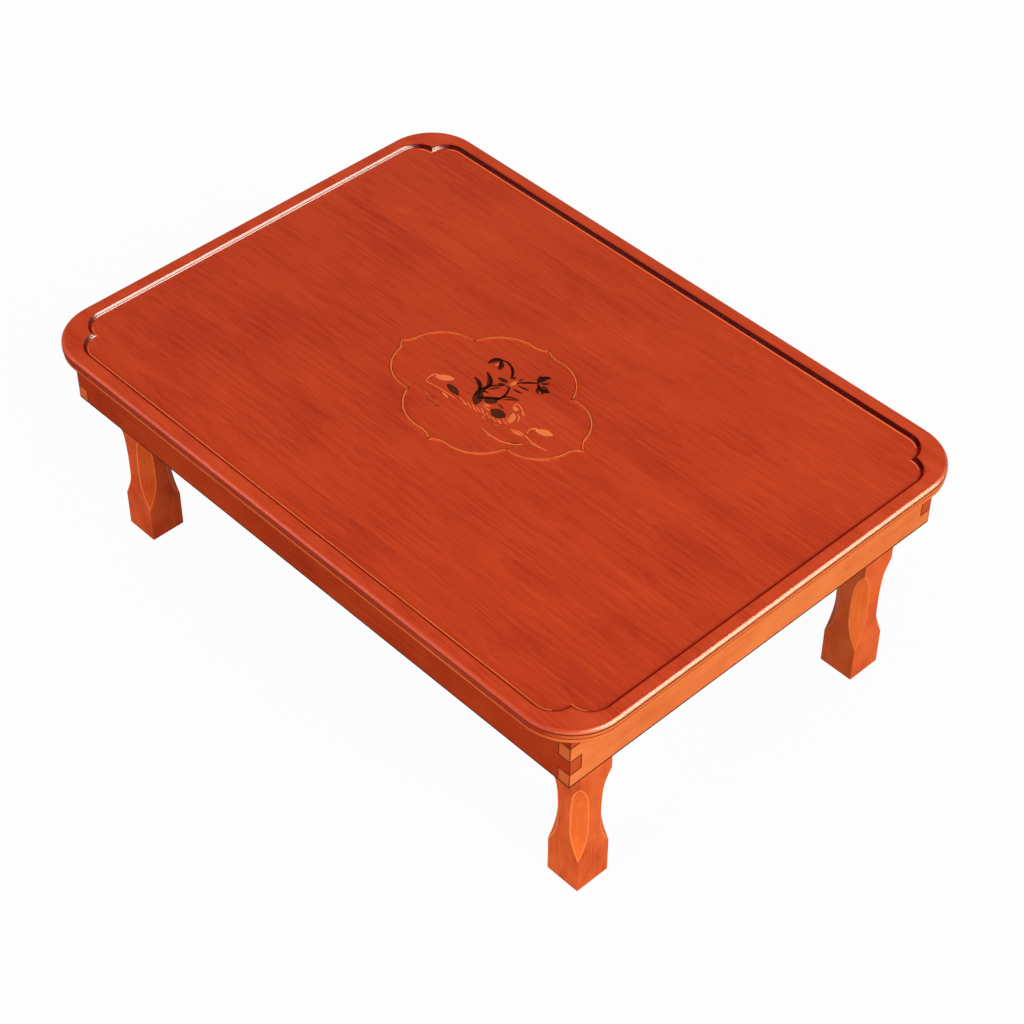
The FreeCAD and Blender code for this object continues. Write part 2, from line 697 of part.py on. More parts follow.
def wood_screws(name, places, seat, length):
    """Pan-head wood screws driven up from a seat, all of one group."""
    screws = []
    for index, (x, y) in enumerate(places):
        shank = cylinder("%s_shank_%d" % (name, index), "{screw_radius}", length, x, y, seat)
        head = cylinder("%s_head_%d" % (name, index), "{screw_head_radius}", "{screw_head_height}",
                        x, y, seat + " - {screw_head_height}")
        screws.append(fuse("%s_%d" % (name, index), [shank, head]))
    return group(name + "_group", screws)


for across, along, side_x, side_y in corners:
    ending = "%s_%s" % (along, across)
    turn = 0 if side_x > 0 else 180
    hinge_pieces = (
        ("leg_" + ending, leg("leg_" + ending)),
        ("hinge_bracket_" + ending, hinge_bracket("bracket_" + ending)),
        ("pivot_pin_" + ending, pivot_pin("pin_" + ending)),
        ("hinge_washers_" + ending, hinge_washers("washers_" + ending)),
        ("leg_spring_" + ending, leaf_spring("spring_" + ending)),
        ("hinge_screws_" + ending, wood_screws("screws_" + ending, hinge_screw_offsets, "{bracket_plate}",
                                               "{bracket_gauge} + {screw_bite}")),
    )
    for label, piece in hinge_pieces:
        place(piece, "%d * {pin_place_x}" % side_x, "%d * {leg_place_y}" % side_y, "{pin_height}", turn)
        keep(piece, label)

# Batten: one cross rail under the middle of the top, between the long aprons, with its screws
batten_half = "({apron_half_width} - {apron_thickness} - {batten_end_gap})"
batten_level = "{board_bottom} - {batten_thickness}"
batten_blank = box("batten_blank", "{batten_width}", "2 * %s" % batten_half, "{batten_thickness}",
                   "-{batten_width} / 2", "-%s" % batten_half, batten_level)
batten_holes = []
for index, (x, y) in enumerate(batten_screw_places):
    batten_holes.append(cylinder("batten_hole_%d" % index, hole_radius,
                                 "{batten_thickness} + 2 * {cut_overrun}",
                                 x, y, batten_level + " - {cut_overrun}"))
keep(cut("batten_drilled", batten_blank, group("batten_holes", batten_holes)), "centre_batten")
batten_screws = wood_screws("batten_screw", batten_screw_places, batten_level,
                            "{batten_thickness} + {screw_bite}")
keep(batten_screws, "batten_screws")

doc.recompute()

# Every object must have built, and every piece must be sound, before any file is written
failed = [item.Name for item in doc.Objects if "Invalid" in item.State or "Error" in item.State]
if failed:
    raise RuntimeError("objects failed: %s" % ", ".join(failed))
for piece in nodes:
    if piece.Shape.isNull() or not piece.Shape.isValid() or not piece.Shape.Solids:
        raise RuntimeError("unsound piece: %s" % piece.Label)

os.makedirs("parts", exist_ok=True)
for piece in nodes:
    piece.Shape.exportStep("parts/%s.step" % piece.Label)
    print("%-32s solids %2d  volume %12.1f mm3" % (piece.Label, len(piece.Shape.Solids), piece.Shape.Volume))
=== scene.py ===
import math

import bpy
from mathutils import Matrix, Vector


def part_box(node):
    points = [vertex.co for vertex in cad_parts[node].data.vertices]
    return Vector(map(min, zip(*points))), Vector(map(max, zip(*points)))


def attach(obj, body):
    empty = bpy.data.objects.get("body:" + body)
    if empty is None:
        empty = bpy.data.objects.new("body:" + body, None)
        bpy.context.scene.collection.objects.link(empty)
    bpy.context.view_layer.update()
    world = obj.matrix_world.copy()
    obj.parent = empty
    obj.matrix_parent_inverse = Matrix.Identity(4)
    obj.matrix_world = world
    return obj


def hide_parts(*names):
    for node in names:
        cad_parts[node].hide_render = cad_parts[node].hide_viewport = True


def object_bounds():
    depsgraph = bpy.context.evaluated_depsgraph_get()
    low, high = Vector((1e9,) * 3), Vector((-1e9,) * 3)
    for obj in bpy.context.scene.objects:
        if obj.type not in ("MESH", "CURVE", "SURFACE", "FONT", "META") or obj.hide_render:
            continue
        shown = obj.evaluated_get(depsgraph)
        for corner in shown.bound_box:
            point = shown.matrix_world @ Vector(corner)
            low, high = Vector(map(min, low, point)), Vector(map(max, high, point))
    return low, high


# Folding coffee table: red-brown lacquered wood, a routed top with an inlaid medallion, a box-jointed
# apron frame and four legs on steel hinges. Metres, +X along the table, +Y across it, +Z up.

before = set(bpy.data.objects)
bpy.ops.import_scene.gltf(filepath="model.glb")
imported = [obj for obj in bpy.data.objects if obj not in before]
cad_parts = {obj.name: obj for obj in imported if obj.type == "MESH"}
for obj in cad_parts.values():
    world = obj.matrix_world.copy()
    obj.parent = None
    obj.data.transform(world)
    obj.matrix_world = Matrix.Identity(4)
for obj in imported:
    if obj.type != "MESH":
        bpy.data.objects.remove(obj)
cad_low, cad_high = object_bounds()


# Apron boards. Four planed boards on edge, box-jointed at the corners and glued, then stained and
# lacquered. Their edges are eased by hand and darkened, partly with stain and partly with painted
# shade in the joint grooves, and a strip along each bottom edge is painted shade.
apron_half_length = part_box("apron_front")[1].x
apron_half_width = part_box("apron_right")[1].y
apron_thickness = 0.016
apron_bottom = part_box("apron_front")[0].z
apron_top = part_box("apron_front")[1].z
finger_count = 4
finger_slack = 0.0001
eased_edge = 0.0009
# Height of the dark strip along each board's bottom edge, which is painted shade
bottom_shade_height = 0.0026


def shader_node(tree, kind, inputs=None, **settings):
    """Adds a node to a shader, with numbers or other nodes' sockets for its inputs."""
    made = tree.nodes.new("ShaderNode" + kind)
    for setting, choice in settings.items():
        setattr(made, setting, choice)
    for name, given in (inputs or {}).items():
        if isinstance(given, bpy.types.NodeSocket):
            tree.links.new(given, made.inputs[name])
        else:
            made.inputs[name].default_value = given
    return made


def colour(red, green, blue):
    """Linear colour of a screen colour in 0 to 255."""
    parts = [part / 255 for part in (red, green, blue)]
    return tuple(p / 12.92 if p <= 0.04045 else ((p + 0.055) / 1.055) ** 2.4 for p in parts) + (1,)


def blended(tree, share, low, high, kind="MIX"):
    """Mixes two colours."""
    made = tree.nodes.new("ShaderNodeMix")
    made.data_type = "RGBA"
    made.blend_type = kind
    for place, given in ((0, share), (6, low), (7, high)):
        if isinstance(given, bpy.types.NodeSocket):
            tree.links.new(given, made.inputs[place])
        else:
            made.inputs[place].default_value = given
    return made.outputs[2]


def arithmetic(tree, operation, first, second=0.0, third=0.0):
    """Works out one step of arithmetic."""
    return shader_node(tree, "Math", {0: first, 1: second, 2: third}, operation=operation).outputs[0]


def ranged(tree, value, from_low, from_high, to_low=0.0, to_high=1.0):
    """Takes a value from one range to another and stops at its ends."""
    return shader_node(tree, "MapRange", {"Value": value, "From Min": from_low, "From Max": from_high,
                                          "To Min": to_low, "To Max": to_high}).outputs[0]


def swing(tree, noise):
    """Spreads noise round its middle, from -0.5 to 0.5."""
    return ranged(tree, noise, 0.25, 0.75, -0.5, 0.5)


def streaks(tree, place, along, across, detail=3.0, roughness=0.5):
    """Noise drawn out along the grain, which runs on X. The two numbers are streaks per metre."""
    stretched = shader_node(tree, "Mapping", {"Vector": place,
                                              "Scale": (along, across, across)}).outputs[0]
    return shader_node(tree, "TexNoise", {"Vector": stretched, "Scale": 1.0, "Detail": detail,
                                          "Roughness": roughness}).outputs["Fac"]


GRAIN_TURN = {"x": (0, 0, 0), "y": (0, 0, -math.pi / 2), "z": (0, math.pi / 2, 0)}
PORE_BROWN = (0.05, 0.008, 0.003, 1)
# Streaks per metre along and across the grain, and how many ring gaps a ring strays by them
SLOW_WANDER = (3, 16, 7.0)
QUICK_WANDER = (14, 60, 0.9)
BAND_PITCH = (2.2, 45)
PORE_PITCH = (60, 1700)
PORE_LEVELS = (0.6, 0.76)
PORE_SHARE = 0.35
GRAIN_HEIGHT = 0.0002
RING_SHARPNESS = 2.2
# How far the staves of a glued-up board differ: their heart, their place along the log, their tone
HEART_STRAY = 0.035
LOG_LENGTH = 4
STAVE_TONE = 0.07
HEART_RISE = 0.03
# Pin knots: how many cells a metre has, which of them hold one, and its size
KNOT_CELLS = (3.4, 6.0, 0.0)
KNOT_ODDS = 0.62
KNOT_CORE, KNOT_RIM, KNOT_SHARE = 0.006, 0.011, 0.75
END_SOAK = 0.75
DARK_BAND_FADE = 0.0003


def lacquered_wood(name, grain, pale, middle, deep, shift=(0, 0, 0), heart_depth=0.06, ring_gap=0.0036,
                   ring_share=0.2, lean=0.03, stave_width=0, end_tone=0.72, end_stain=None,
                   groove_stain_and_shade=None, steep=(0.97, 0.8), clean_ends=False, dark_band_levels=None,
                   pin_knots=False, fibre_pitch=(7, 520), fibre_share=0.3, band_share=0.26,
                   cloud_share=0.42, cloud_scale=7.0, raised_grain=0.15, roughness=0.4, coat=0.4,
                   coat_roughness=0.14):
    """Stained wood under semi-gloss lacquer: growth rings round a heart that leans through the board,
    fibres and pores along the grain, a cloudy stain, end grain of another tone. In a glued-up board each
    stave has its own heart. A groove colour, which callers use for stain and for painted shade, darkens
    steep faces, or what lies between two levels."""
    material = bpy.data.materials.new(name)
    material.use_nodes = True
    tree = material.node_tree
    tree.nodes.clear()
    here = shader_node(tree, "TexCoord")
    place = shader_node(tree, "Mapping", {"Vector": here.outputs["Object"], "Rotation": GRAIN_TURN[grain],
                                          "Location": shift}).outputs[0]
    split = shader_node(tree, "SeparateXYZ", {0: place})
    along, across, up = split.outputs
    lot_tone = 0.0
    if stave_width:
        stave = arithmetic(tree, "FLOOR", arithmetic(tree, "DIVIDE", across, stave_width))
        lot = shader_node(tree, "TexWhiteNoise", {"W": stave}, noise_dimensions="1D")
        first, second, third = shader_node(tree, "SeparateColor", {0: lot.outputs["Color"]}).outputs
        across = arithmetic(tree, "SUBTRACT", across, arithmetic(
            tree, "MULTIPLY", arithmetic(tree, "ADD", stave, 0.5), stave_width))
        across = arithmetic(tree, "ADD", across, ranged(tree, first, 0, 1, -HEART_STRAY, HEART_STRAY))
        along = arithmetic(tree, "ADD", along, ranged(tree, second, 0, 1, 0, LOG_LENGTH))
        lean = ranged(tree, third, 0, 1, -lean, lean)
        lot_tone = ranged(tree, lot.outputs["Value"], 0, 1, -STAVE_TONE, STAVE_TONE)
        place = shader_node(tree, "CombineXYZ", {0: along, 1: across, 2: up}).outputs[0]
    # Growth rings: distance from the heart, counted in ring gaps and bent by slow and quick wander
    depth = arithmetic(tree, "ADD", arithmetic(tree, "MULTIPLY", along, lean),
                       arithmetic(tree, "ADD", up, heart_depth))
    if stave_width:
        rise = arithmetic(tree, "PINGPONG", arithmetic(tree, "MULTIPLY", along, lean), HEART_RISE)
        depth = arithmetic(tree, "ADD", rise, arithmetic(tree, "ADD", up, heart_depth - cad_high.z))
    apart = shader_node(tree, "CombineXYZ", {0: 0.0, 1: across, 2: depth}).outputs[0]
    reach = shader_node(tree, "VectorMath", {0: apart}, operation="LENGTH").outputs["Value"]
    growth = arithmetic(tree, "DIVIDE", reach, ring_gap)
    for lengthwise, crosswise, ring_gaps in (SLOW_WANDER, QUICK_WANDER):
        growth = arithmetic(tree, "MULTIPLY_ADD", streaks(tree, place, lengthwise, crosswise),
                            ring_gaps, growth)
    ring = arithmetic(tree, "POWER", arithmetic(tree, "FRACT", growth), RING_SHARPNESS)
    # Fibres, broad bands of tone and a cloudy stain
    fibre = swing(tree, streaks(tree, place, *fibre_pitch, 4.0, 0.6))
    band = swing(tree, streaks(tree, place, *BAND_PITCH, 4.0))
    cloud = shader_node(tree, "TexNoise", {"Vector": place, "Scale": cloud_scale,
                                           "Detail": 3.0}).outputs["Fac"]
    tone = arithmetic(tree, "MULTIPLY_ADD", ring, -ring_share, 0.5 + 0.3 * ring_share)
    tone = arithmetic(tree, "ADD", tone, lot_tone)
    for pattern, share in ((fibre, fibre_share), (band, band_share), (swing(tree, cloud), cloud_share)):
        tone = arithmetic(tree, "MULTIPLY_ADD", pattern, share, tone)
    ramp = shader_node(tree, "ValToRGB", {"Fac": tone})
    ramp.color_ramp.elements[0].color = deep
    ramp.color_ramp.elements[1].color = pale
    ramp.color_ramp.elements.new(0.5).color = middle
    pores = ranged(tree, streaks(tree, place, *PORE_PITCH, 2.0), *PORE_LEVELS)
    stained = blended(tree, arithmetic(tree, "MULTIPLY", pores, PORE_SHARE), ramp.outputs[0], PORE_BROWN)
    if pin_knots:
        spots = shader_node(tree, "TexVoronoi", {"Vector": shader_node(tree, "Mapping", {
            "Vector": here.outputs["Object"], "Scale": KNOT_CELLS}).outputs[0], "Scale": 1.0})
        chosen = arithmetic(tree, "GREATER_THAN", shader_node(tree, "SeparateColor", {
            0: spots.outputs["Color"]}).outputs[0], KNOT_ODDS)
        spot = ranged(tree, spots.outputs["Distance"], KNOT_CORE, KNOT_RIM, KNOT_SHARE, 0.0)
        stained = blended(tree, arithmetic(tree, "MULTIPLY", spot, chosen), stained, PORE_BROWN)
    facing = shader_node(tree, "SeparateXYZ", {0: here.outputs["Normal"]})
    endwise = arithmetic(tree, "ABSOLUTE", facing.outputs[grain.upper()])
    if end_stain:
        ends = ranged(tree, endwise, 0.35, 0.95)
        soaked = blended(tree, END_SOAK, stained, end_stain)
    else:
        ends = ranged(tree, endwise, 0.8, 0.95)
        soaked = blended(tree, 1.0, stained, (end_tone, end_tone * 0.86, end_tone * 0.8, 1), "MULTIPLY")
    stained = blended(tree, ends, stained, soaked)
    # Groove colour on steep faces or between two levels: stain, and painted shade in hollows and under
    # edges
    if groove_stain_and_shade:
        if dark_band_levels:
            level = shader_node(tree, "SeparateXYZ", {0: here.outputs["Object"]}).outputs["Z"]
            darkened_share = arithmetic(tree, "MULTIPLY",
                                  ranged(tree, level, dark_band_levels[0], dark_band_levels[0] + DARK_BAND_FADE),
                                  ranged(tree, level, dark_band_levels[1], dark_band_levels[1] - DARK_BAND_FADE))
        else:
            darkened_share = ranged(tree, facing.outputs["Z"], *steep)
        if clean_ends:
            darkened_share = arithmetic(tree, "MULTIPLY", darkened_share, arithmetic(tree, "SUBTRACT", 1.0, ends))
        stained = blended(tree, darkened_share, stained, groove_stain_and_shade)
    relief = arithmetic(tree, "MULTIPLY_ADD", pores, -0.8, arithmetic(tree, "MULTIPLY", fibre, 0.5))
    raised = shader_node(tree, "Bump", {"Height": relief, "Strength": raised_grain,
                                        "Distance": GRAIN_HEIGHT}).outputs[0]
    sheen = ranged(tree, cloud, 0.3, 0.7, roughness - 0.05, roughness + 0.08)
    wood = shader_node(tree, "BsdfPrincipled", {
        "Base Color": stained, "Roughness": sheen, "Specular IOR Level": 0.0, "Normal": raised,
        "Coat Weight": coat, "Coat Roughness": coat_roughness})
    shader_node(tree, "OutputMaterial", {"Surface": wood.outputs[0]})
    return material


def lay_aside():
    """Leaves edit mode with nothing selected."""
    if bpy.context.mode != "OBJECT":
        bpy.ops.object.mode_set(mode="OBJECT")
    for shown in list(bpy.context.selected_objects):
        shown.select_set(False)


def edit(piece):
    """Opens one piece in edit mode with nothing of it selected."""
    lay_aside()
    piece.select_set(True)
    bpy.context.view_layer.objects.active = piece
    bpy.ops.object.mode_set(mode="EDIT")
    bpy.ops.mesh.select_all(action="DESELECT")


def pick(piece, wanted):
    """Selects the faces of the piece in edit mode that pass a test on their middle and normal."""
    bpy.ops.mesh.select_mode(type="FACE")
    bpy.ops.mesh.select_all(action="DESELECT")
    bpy.ops.object.mode_set(mode="OBJECT")
    for face in piece.data.polygons:
        face.select = bool(wanted(face.center, face.normal))
    bpy.ops.object.mode_set(mode="EDIT")


def coat_picked(piece, slot):
    """Gives the picked faces the piece's material of that number."""
    piece.active_material_index = slot
    bpy.ops.object.material_slot_assign()


def give(piece, *materials):
    """Puts these materials on the piece, in this order."""
    piece.data.materials.clear()
    for material in materials:
        piece.data.materials.append(material)


def ease_edges(width, slot=-1, steps=2, sharpness=30):
    """Rounds every sharp edge of the piece in edit mode a little."""
    bpy.ops.mesh.select_mode(type="EDGE")
    bpy.ops.mesh.select_all(action="DESELECT")
    bpy.ops.mesh.edges_select_sharp(sharpness=math.radians(sharpness))
    bpy.ops.mesh.bevel(offset=width, segments=steps, profile=0.6, affect="EDGES", clamp_overlap=True,
                       material=slot)


def finish(piece, body, slot, *nodes):
    """Leaves edit mode, smooths the small curves but not the flats, and hands the piece to its body."""
    bpy.ops.mesh.select_all(action="SELECT")
    bpy.ops.mesh.normals_make_consistent(inside=False)
    bpy.ops.object.mode_set(mode="OBJECT")
    bpy.ops.object.shade_smooth_by_angle(angle=math.radians(32))
    flats_first = piece.modifiers.new("flats_first", "WEIGHTED_NORMAL")
    flats_first.keep_sharp = True
    bpy.ops.object.modifier_apply(modifier=flats_first.name)
    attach(piece, body)
    if nodes:
        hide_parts(*nodes)


long_board_wood = lacquered_wood("long_board_wood", "x", colour(184, 65, 20), colour(168, 50, 12),
                                 colour(142, 34, 7), shift=(0.3, 0.1, -0.2),
                                 end_stain=colour(198, 84, 42), coat=0.05, cloud_scale=14.0,
                                 cloud_share=0.55, fibre_share=0.22)
end_board_wood = lacquered_wood("end_board_wood", "y", colour(238, 134, 70), colour(229, 119, 58),
                                colour(210, 94, 40), shift=(0.1, 0.4, -0.2),
                                end_stain=colour(192, 82, 38), coat=0.08, cloud_scale=16.0,
                                cloud_share=0.6, fibre_share=0.2)
# Pale eased edges of the legs: wear, and partly a painted highlight
rubbed_edge_and_highlight = lacquered_wood("rubbed_edge_and_highlight", "x", colour(255, 144, 80), colour(245, 128, 66),
                             colour(226, 102, 46), end_tone=1.0, coat=0.06)
# Dark brown for the strip along the aprons' bottom edges and the band round the legs' feet: painted shade
painted_shade_brown = lacquered_wood("painted_shade_brown", "z", colour(116, 40, 16), colour(94, 28, 10),
                             colour(66, 18, 6), end_tone=1.0, coat=0.05)
# Eased edges and finger-joint grooves of the aprons: dark joint lines, partly painted shade in the grooves
joint_line_and_shade = lacquered_wood("joint_line_and_shade", "z", colour(158, 60, 28), colour(136, 46, 20),
                            colour(100, 30, 12), end_tone=1.0, coat=0.05)
line_slot, bottom_shade_slot = 1, 2


def apron_board(name, along, reach, place, fingers, wood):
    """Board on edge, centred at a place across the table, with fingers cut at both ends."""
    lay_aside()
    bpy.ops.mesh.primitive_cube_add(size=1)
    board = bpy.context.object
    board.name = board.data.name = name
    give(board, wood, joint_line_and_shade, painted_shade_brown)
    edit(board)
    bpy.ops.mesh.select_all(action="SELECT")
    axis = "xy".index(along)
    size = [apron_thickness, apron_thickness, apron_top - apron_bottom]
    size[axis] = 2 * (reach - apron_thickness)
    middle = [place, place, (apron_top + apron_bottom) / 2]
    middle[axis] = 0
    bpy.ops.transform.resize(value=size)
    bpy.ops.transform.translate(value=middle)
    step = (apron_top - apron_bottom) / finger_count
    slack = 0 if along == "x" else finger_slack
    bpy.ops.mesh.bisect(plane_co=(0, 0, apron_bottom + bottom_shade_height), plane_no=(0, 0, 1))
    for level in range(1, finger_count):
        cut = apron_bottom + level * step + (slack if level in fingers else -slack)
        bpy.ops.mesh.select_all(action="SELECT")
        bpy.ops.mesh.bisect(plane_co=(0, 0, cut), plane_no=(0, 0, 1))
    for side in (-1, 1):
        pick(board, lambda centre, normal: normal[axis] * side > 0.9
             and int((centre.z - apron_bottom) / step) in fingers)
        push = [0, 0, 0]
        push[axis] = side * apron_thickness
        bpy.ops.mesh.extrude_region_move(TRANSFORM_OT_translate={"value": push})
    ease_edges(eased_edge, slot=line_slot)
    # The strip along the bottom edge takes the painted shade
    pick(board, lambda centre, normal: centre.z < apron_bottom + bottom_shade_height)
    coat_picked(board, bottom_shade_slot)
    return board


side_place = apron_half_width - apron_thickness / 2
end_place = apron_half_length - apron_thickness / 2
for node, along, reach, place, fingers, wood in (
        ("apron_front", "x", apron_half_length, -side_place, (1, 3), long_board_wood),
        ("apron_back", "x", apron_half_length, side_place, (1, 3), long_board_wood),
        ("apron_left", "y", apron_half_width, -end_place, (0, 2), end_board_wood),
        ("apron_right", "y", apron_half_width, end_place, (0, 2), end_board_wood)):
    board = apron_board(node + "_board", along, reach, place, fingers, wood)
    finish(board, "frame", "lacquered_wood", node)


# Tabletop. One glued-up board, moulded round its edge, with a recessed field routed out of its face.
# Stained red-brown and lacquered. Painted shade darkens the lower shoulder of the moulding, its quirk,
# which also holds stain, and the underside of its bead. The field's wall is dark with stain and painted
# shade, in a tone for each side, and a pale line at the foot of its long sides is a painted highlight.
top_pale, top_middle, top_deep = colour(208, 71, 31), colour(194, 60, 24), colour(171, 45, 17)
groove_brown = colour(70, 5, 2)
# Painted shade for the lower part of the moulding's shoulder and the underside of its bead
moulding_painted_shade = colour(84, 14, 5)
stave_width = 0.091
top_shift = (0, 0.055, 0)
glued_up = {"stave_width": stave_width, "shift": top_shift}
board_top = cad_high.z
board_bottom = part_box("tabletop")[0].z
field_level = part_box("inlay_dark")[1].z
wall_levels = (field_level + 0.0003, board_top - 0.0002)
on_wall = {"dark_band_levels": wall_levels, "raised_grain": 0.0, "end_tone": 1.0, **glued_up}
top_wood = lacquered_wood("top_wood", "x", top_pale, top_middle, top_deep, **glued_up, pin_knots=True,
                          fibre_pitch=(16, 210), fibre_share=0.5, coat=0.6)
rim_wood = lacquered_wood("rim_wood", "x", colour(214, 80, 42), colour(200, 67, 32), colour(174, 48, 20),
                          **glued_up, cloud_scale=20.0, cloud_share=0.6, coat=0.4)
# The shoulder's lower part is darkened with painted shade
shoulder_wood = lacquered_wood("shoulder_wood", "x", colour(213, 82, 45), colour(200, 70, 35),
                               colour(176, 52, 24), **glued_up, groove_stain_and_shade=moulding_painted_shade,
                               steep=(0.42, 0.2), end_stain=colour(236, 126, 62), raised_grain=0.0,
                               coat=0.34, coat_roughness=0.3)
# The field's wall is darkened between two levels with stain and painted shade, in a tone for each side as
# the light falls on it: the far long side darkest, the far short side lighter, the near sides lightest and
# redder
wall_wood = lacquered_wood("wall_wood", "x", top_pale, top_middle, top_deep, **on_wall,
                           groove_stain_and_shade=colour(98, 9, 4), coat=0.5, coat_roughness=0.26)
long_wall_wood = lacquered_wood("long_wall_wood", "x", top_pale, top_middle, top_deep, **on_wall,
                                groove_stain_and_shade=groove_brown, coat=0.08)
near_wall_wood = lacquered_wood("near_wall_wood", "x", top_pale, top_middle, top_deep, **on_wall,
                                groove_stain_and_shade=colour(124, 15, 6), coat=0.06)
# A pale line at the foot of the long walls: painted highlight
cove_painted_highlight = lacquered_wood("cove_painted_highlight", "x", colour(238, 122, 74), colour(226, 106, 60),
                           colour(202, 80, 42), shift=top_shift, raised_grain=0.0, coat=0.3, end_tone=1.0)
under_wood = lacquered_wood("under_wood", "x", colour(186, 78, 40), colour(168, 62, 30),
                            colour(138, 44, 20), **glued_up, roughness=0.55, coat=0.06)
band_wood = lacquered_wood("band_wood", "x", colour(182, 60, 24), colour(166, 48, 17), colour(140, 34, 11),
                           shift=top_shift, end_stain=colour(236, 126, 60), coat=0.05)
# The quirk is dark with stain and with painted shade
quirk_wood = lacquered_wood("quirk_wood", "x", colour(82, 14, 4), colour(70, 10, 3), colour(54, 6, 2),
                            end_stain=colour(130, 56, 22), coat=0.0)
# The bead's underside is darkened with painted shade, except at the ends
bead_wood = lacquered_wood("bead_wood", "x", colour(216, 102, 54), colour(200, 86, 42), colour(176, 64, 28),
                           shift=top_shift, groove_stain_and_shade=moulding_painted_shade, steep=(0.0, -0.25),
                           clean_ends=True, end_stain=colour(238, 130, 64), coat=0.05)


def copied_node(node, name, *materials, whole_flats=True):
    """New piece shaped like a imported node, its loose triangles joined and its flats made whole."""
    lay_aside()
    piece = bpy.data.objects.new(name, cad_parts[node].data.copy())
    bpy.context.scene.collection.objects.link(piece)
    give(piece, *materials)
    edit(piece)
    bpy.ops.mesh.select_all(action="SELECT")
    bpy.ops.mesh.customdata_custom_splitnormals_clear()
    bpy.ops.mesh.remove_doubles(threshold=2e-6)
    if whole_flats:
        bpy.ops.mesh.dissolve_limited(angle_limit=math.radians(0.3))
    return piece


corner_radius = 0.064
rim_width = 0.016
rim_round = 0.005
edge_band = 0.004
quirk_height = 0.0022
moulding_reach = 0.02
wall_slack = 0.0005
level_slack = 0.00001
face_slack = 0.0001
long_side_ratio = 1.2
cove_low, cove_high = 0.00005, 0.0004


def rim_depth(point):
    """How far a point lies inside the table's rounded outline."""
    past_x = abs(point.x) - (cad_high.x - corner_radius)
    past_y = abs(point.y) - (cad_high.y - corner_radius)
    if past_x > 0 and past_y > 0:
        return corner_radius - math.hypot(past_x, past_y)
    return min(cad_high.x - abs(point.x), cad_high.y - abs(point.y))


def on_field_wall(centre, normal):
    """Whether a face belongs to the slope between the field and the rim."""
    return (rim_depth(centre) > rim_width - wall_slack and normal.z > 0.05
            and field_level + 2 * level_slack < centre.z < board_top - level_slack)


def on_long_side(normal):
    """Whether a wall's face looks across the table more than along it."""
    return abs(normal.y) > long_side_ratio * abs(normal.x)


def on_edge(centre, low, high):
    """Whether a face belongs to the moulded edge, between two levels."""
    return low < centre.z < high and rim_depth(centre) < moulding_reach


round_bottom = board_top - rim_round
band_bottom = round_bottom - edge_band
quirk_bottom = band_bottom - quirk_height
top_woods = (top_wood, wall_wood, band_wood, quirk_wood, shoulder_wood, bead_wood, rim_wood, long_wall_wood,
             under_wood, cove_painted_highlight, near_wall_wood)
top = copied_node("tabletop", "tabletop_board", *top_woods)
for wood, wanted in (
        (under_wood, lambda centre, normal: centre.z < board_bottom + level_slack and normal.z < -0.99),
        (rim_wood, lambda centre, normal: centre.z > board_top - level_slack and normal.z > 0.99),
        (wall_wood, on_field_wall),
        (long_wall_wood, lambda centre, normal: on_field_wall(centre, normal) and on_long_side(normal)),
        (near_wall_wood, lambda centre, normal: on_field_wall(centre, normal)
         and (normal.y > 0.05 if on_long_side(normal) else normal.x < -0.05)),
        (cove_painted_highlight, lambda centre, normal: on_field_wall(centre, normal) and on_long_side(normal)
         and field_level + cove_low < centre.z < field_level + cove_high),
        (shoulder_wood, lambda centre, normal: centre.z > round_bottom - face_slack and normal.z < 0.995
         and rim_depth(centre) < rim_round + 2 * face_slack),
        (band_wood, lambda centre, normal: on_edge(
            centre, board_bottom + face_slack, round_bottom + 2 * face_slack)),
        (quirk_wood, lambda centre, normal: on_edge(
            centre, quirk_bottom - face_slack, band_bottom + face_slack)),
        (bead_wood, lambda centre, normal: on_edge(
            centre, board_bottom + face_slack, quirk_bottom - face_slack))):
    pick(top, wanted)
    coat_picked(top, top_woods.index(wood))
finish(top, "frame", "lacquered_wood", "tabletop")


# Inlay. Thin veneers let into the field: a pale line drawn as a lobed cartouche, and a bird among
# lotus leaves in dark and pale wood. Each piece is scorched at its edge and stands a hair proud.
pale_veneer = lacquered_wood("pale_veneer", "x", colour(250, 140, 80), colour(240, 118, 62),
                             colour(214, 88, 44), ring_share=0.1)
dark_veneer = lacquered_wood("dark_veneer", "x", colour(98, 50, 24), colour(80, 38, 18),
                             colour(58, 24, 10), ring_share=0.1, coat=0.2)
burnt_veneer = lacquered_wood("burnt_veneer", "x", colour(58, 20, 8), colour(46, 13, 5),
                              colour(34, 8, 3), ring_share=0.1, coat=0.2)
line_veneer = lacquered_wood("line_veneer", "x", colour(246, 132, 72), colour(234, 114, 58),
                             colour(206, 84, 40), ring_share=0.1, coat=0.05)
scorched_veneer = lacquered_wood("scorched_veneer", "x", colour(134, 34, 13), colour(112, 24, 8),
                                 colour(84, 15, 5), ring_share=0.1, coat=0.05)
rim_lift = 0.00012
cusp_gap = 0.00045


def veneer(node, name, rim, *materials, swell=0, whole_flats=True):
    """Veneer pieces of one node with a narrow sloped rim of the second material. A swell widens them."""
    piece = copied_node(node, name, *materials, whole_flats=whole_flats)
    if swell:
        bpy.ops.mesh.select_all(action="SELECT")
        bpy.ops.transform.shrink_fatten(value=swell)
        bpy.ops.mesh.remove_doubles(threshold=cusp_gap)
    pick(piece, lambda centre, normal: normal.z > 0.9 and centre.z > field_level - face_slack)
    bpy.ops.mesh.inset(thickness=rim, depth=rim_lift, use_boundary=True, use_even_offset=True)
    pick(piece, lambda centre, normal: 0.05 < normal.z < 0.99)
    coat_picked(piece, 1)
    finish(piece, "frame", "inlay_pale" if "dark" not in node else "inlay_brown", node)


